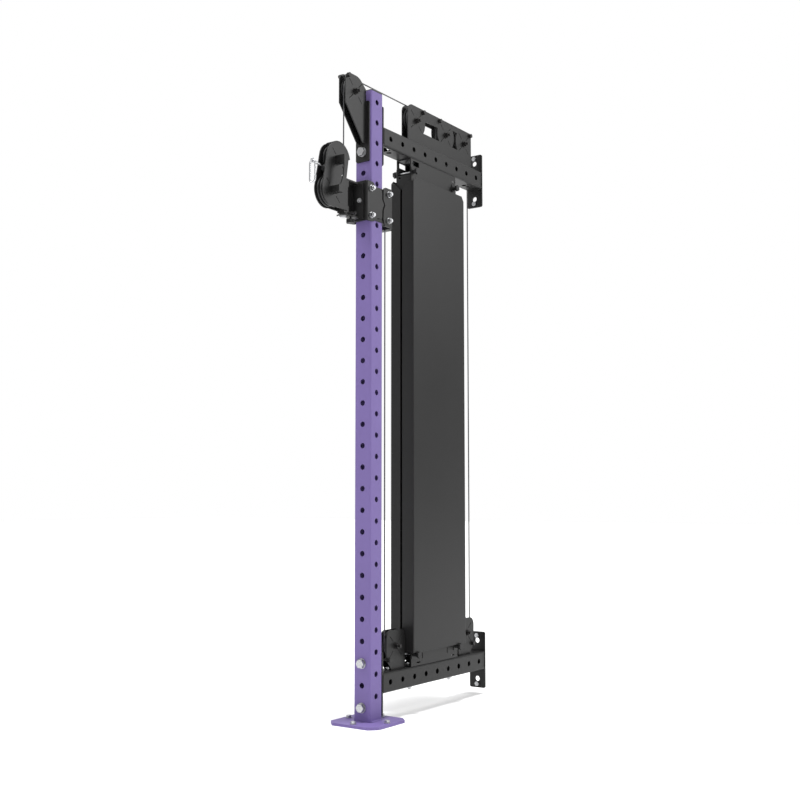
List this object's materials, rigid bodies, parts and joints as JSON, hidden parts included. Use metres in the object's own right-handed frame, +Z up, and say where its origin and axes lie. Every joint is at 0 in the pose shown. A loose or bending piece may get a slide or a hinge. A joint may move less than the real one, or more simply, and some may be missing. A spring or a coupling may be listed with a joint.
{
  "type": "wall pulley weight stack",
  "caption": "Wall pulley exercise station: square upright and two crossmembers to the wall, shrouded weight stack, sliding trolley with swivelling pulley housing, cable and snap hook.",
  "frame": {"origin": "axis of the square upright on the floor", "axes": "+Z up, +Y towards the wall, +X to the right for someone who faces the wall"},
  "size_m": [0.2222, 1.1356, 2.418],
  "materials": {
    "black_nylon": "black glass-filled nylon",
    "black_paint": "fine satin powder coat",
    "cable_sheath": "black sheath over steel cable",
    "cast_plates": "black painted cast iron",
    "chromed_steel": "polished chrome",
    "dark_steel": "black zinc plating",
    "purple_paint": "smooth powder coat",
    "rubber": "matt black rubber",
    "zinc_steel": "bright zinc plating"
  },
  "bodies": {
    "frame": {"upright": "purple_paint", "upright_cap": "black_nylon", "foot_plate": "purple_paint", "anchor_bolts": "zinc_steel", "lower_crossmember": "black_paint", "upper_crossmember": "black_paint", "frame_bolts": "zinc_steel", "top_front_bracket": "black_paint", "top_rear_bracket": "black_paint", "bottom_front_bracket": "black_paint", "bottom_rear_bracket": "black_paint", "pulley_bolts": "dark_steel", "shroud_left": "black_paint", "shroud_right": "black_paint", "shroud_top_bracket": "black_paint", "shroud_bottom_bracket": "black_paint", "shroud_studs": "zinc_steel", "shroud_knobs": "black_nylon", "guide_rods": "chromed_steel", "stack_buffers": "rubber", "resting_plates": "cast_plates", "cable_top_run": "cable_sheath", "cable_rear_run": "cable_sheath", "cable_stack_falls": "cable_sheath", "cable_front_drop": "cable_sheath", "cable_trolley_rise": "cable_sheath"},
    "top_front_wheel": {"top_front_wheel": "black_nylon"},
    "rear_wheel_a": {"rear_wheel_a": "black_nylon"},
    "rear_wheel_b": {"rear_wheel_b": "black_nylon"},
    "rear_wheel_c": {"rear_wheel_c": "black_nylon"},
    "bottom_front_wheel": {"bottom_front_wheel": "black_nylon"},
    "bottom_rear_wheel": {"bottom_rear_wheel": "black_nylon"},
    "weight_stack": {"lifted_plates": "cast_plates", "head_plate": "cast_plates", "selector_rod": "chromed_steel", "stack_yoke": "black_paint", "cable_stack_loop": "cable_sheath"},
    "stack_wheel": {"stack_wheel": "black_nylon"},
    "selector_pin": {"selector_pin": "chromed_steel"},
    "trolley": {"trolley_front_bracket": "black_paint", "trolley_rear_bracket": "black_paint", "trolley_slider": "black_nylon", "trolley_bolts": "zinc_steel", "pivot_bracket": "black_paint", "trolley_fittings": "zinc_steel"},
    "lock_pin": {"lock_pin": "black_nylon"},
    "index_pin": {"index_pin": "black_nylon"},
    "housing": {"swivel_left_plate": "black_paint", "swivel_right_plate": "black_paint", "swivel_pivots": "zinc_steel", "swivel_guard": "black_nylon", "swivel_handle": "black_paint", "swivel_axles": "dark_steel", "cable_swivel_loop": "cable_sheath"},
    "swivel_upper_wheel": {"swivel_upper_wheel": "black_nylon"},
    "swivel_lower_wheel": {"swivel_lower_wheel": "black_nylon"},
    "cable_end": {"cable_end": "rubber", "cable_link": "zinc_steel"},
    "snap_hook": {"snap_hook": "chromed_steel"},
    "snap_gate": {"snap_gate": "chromed_steel"}
  },
  "joints": [
    {"name": "stack_lift", "type": "slide", "parent": "frame", "child": "weight_stack", "axis": [0, 0, 1], "range_m": [0, 1], "deforming": ["cable_stack_falls"]},
    {"name": "trolley_slide", "type": "slide", "parent": "frame", "child": "trolley", "axis": [0, 0, 1], "range_m": [-1.44, 0.08], "deforming": ["cable_front_drop", "cable_trolley_rise"]},
    {"name": "stack_wheel_turn", "type": "hinge", "parent": "weight_stack", "child": "stack_wheel", "pos_m": [0, 0.4105, 0.8785], "axis": [1, 0, 0], "range_deg": [-1000, 1000]},
    {"name": "pin_pull", "type": "slide", "parent": "weight_stack", "child": "selector_pin", "axis": [-1, 0, 0], "range_m": [0, 0.065]},
    {"name": "top_front_wheel_turn", "type": "hinge", "parent": "frame", "child": "top_front_wheel", "pos_m": [0, -0.108, 2.357], "axis": [1, 0, 0], "range_deg": [-2200, 2200]},
    {"name": "rear_wheel_a_turn", "type": "hinge", "parent": "frame", "child": "rear_wheel_a", "pos_m": [0, 0.3, 2.357], "axis": [1, 0, 0], "range_deg": [-2200, 2200]},
    {"name": "rear_wheel_b_turn", "type": "hinge", "parent": "frame", "child": "rear_wheel_b", "pos_m": [0, 0.521, 2.357], "axis": [1, 0, 0], "range_deg": [-1600, 1600]},
    {"name": "rear_wheel_c_turn", "type": "hinge", "parent": "frame", "child": "rear_wheel_c", "pos_m": [0, 0.665, 2.357], "axis": [1, 0, 0], "range_deg": [-1600, 1600]},
    {"name": "bottom_front_wheel_turn", "type": "hinge", "parent": "frame", "child": "bottom_front_wheel", "pos_m": [0, 0.156, 0.265], "axis": [1, 0, 0], "range_deg": [-1600, 1600]},
    {"name": "bottom_rear_wheel_turn", "type": "hinge", "parent": "frame", "child": "bottom_rear_wheel", "pos_m": [0, 0.665, 0.265], "axis": [1, 0, 0], "range_deg": [-1600, 1600]},
    {"name": "lock_push", "type": "slide", "parent": "trolley", "child": "lock_pin", "axis": [1, 0, 0], "range_m": [0, 0.012]},
    {"name": "index_push", "type": "slide", "parent": "trolley", "child": "index_pin", "axis": [0, 0, 1], "range_m": [0, 0.007]},
    {"name": "housing_swivel", "type": "hinge", "parent": "trolley", "child": "housing", "pos_m": [0, -0.1605, 1.94], "axis": [0, 0, 1], "range_deg": [-60, 60]},
    {"name": "upper_wheel_turn", "type": "hinge", "parent": "housing", "child": "swivel_upper_wheel", "pos_m": [0, -0.213, 2.063], "axis": [1, 0, 0], "range_deg": [-2200, 2200]},
    {"name": "lower_wheel_turn", "type": "hinge", "parent": "housing", "child": "swivel_lower_wheel", "pos_m": [0, -0.246, 1.943], "axis": [1, 0, 0], "continuous": true},
    {"name": "cable_pull", "type": "slide", "parent": "housing", "child": "cable_end", "axis": [0, -0.9799, 0.1994], "range_m": [0, 2]},
    {"name": "hook_swing", "type": "hinge", "parent": "cable_end", "child": "snap_hook", "pos_m": [0, -0.34008, 2.03438], "axis": [1, 0, 0], "range_deg": [-75, 5]},
    {"name": "gate_turn", "type": "hinge", "parent": "snap_hook", "child": "snap_gate", "pos_m": [0.012, -0.34008, 1.98038], "axis": [0, 1, 0], "range_deg": [-30, 0], "stiffness_Nm_per_rad": 0.02, "springref_deg": 17.19}
  ],
  "couplings": [
    {"joint": "cable_pull", "follows": "stack_lift", "ratio": 2},
    {"joint": "stack_wheel_turn", "follows": "stack_lift", "rad_per_m": 17.241},
    {"joint": "top_front_wheel_turn", "follows": "stack_lift", "rad_per_m": 38.095},
    {"joint": "rear_wheel_a_turn", "follows": "stack_lift", "rad_per_m": 38.095},
    {"joint": "upper_wheel_turn", "follows": "stack_lift", "rad_per_m": -38.095},
    {"joint": "rear_wheel_b_turn", "follows": "trolley_slide", "rad_per_m": 19.048},
    {"joint": "rear_wheel_c_turn", "follows": "trolley_slide", "rad_per_m": 19.048},
    {"joint": "bottom_rear_wheel_turn", "follows": "trolley_slide", "rad_per_m": 19.048},
    {"joint": "bottom_front_wheel_turn", "follows": "trolley_slide", "rad_per_m": 19.048}
  ]
}
